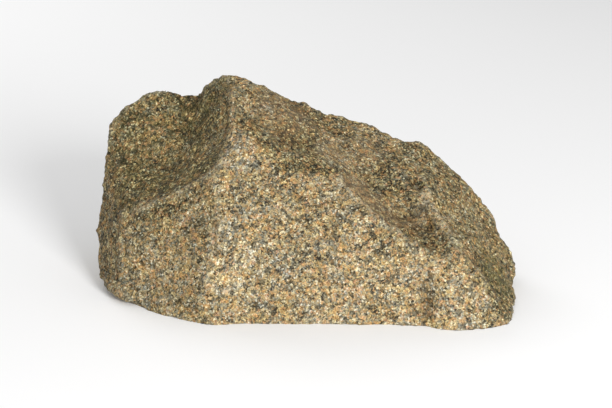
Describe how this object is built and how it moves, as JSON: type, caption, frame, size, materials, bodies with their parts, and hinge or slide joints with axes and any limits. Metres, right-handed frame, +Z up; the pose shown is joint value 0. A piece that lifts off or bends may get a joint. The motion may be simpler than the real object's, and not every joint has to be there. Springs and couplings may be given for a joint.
{
  "type": "rock",
  "caption": "Rough block of broken granite with steep fracture faces, a saddle and a sloping crest across its top, lying on a flat foot",
  "frame": {"origin": "middle of the lower face of the stone's bounding box, on the ground", "axes": "+X along the stone from its high left end to its low right end, +Y towards its back, +Z up"},
  "size_m": [0.4, 0.25, 0.193],
  "materials": {
    "granite": "rough broken granite, dull, with orange, cream, grey and black grains and a faint olive patina"
  },
  "bodies": {
    "root": {"rock": "granite"}
  },
  "joints": []
}
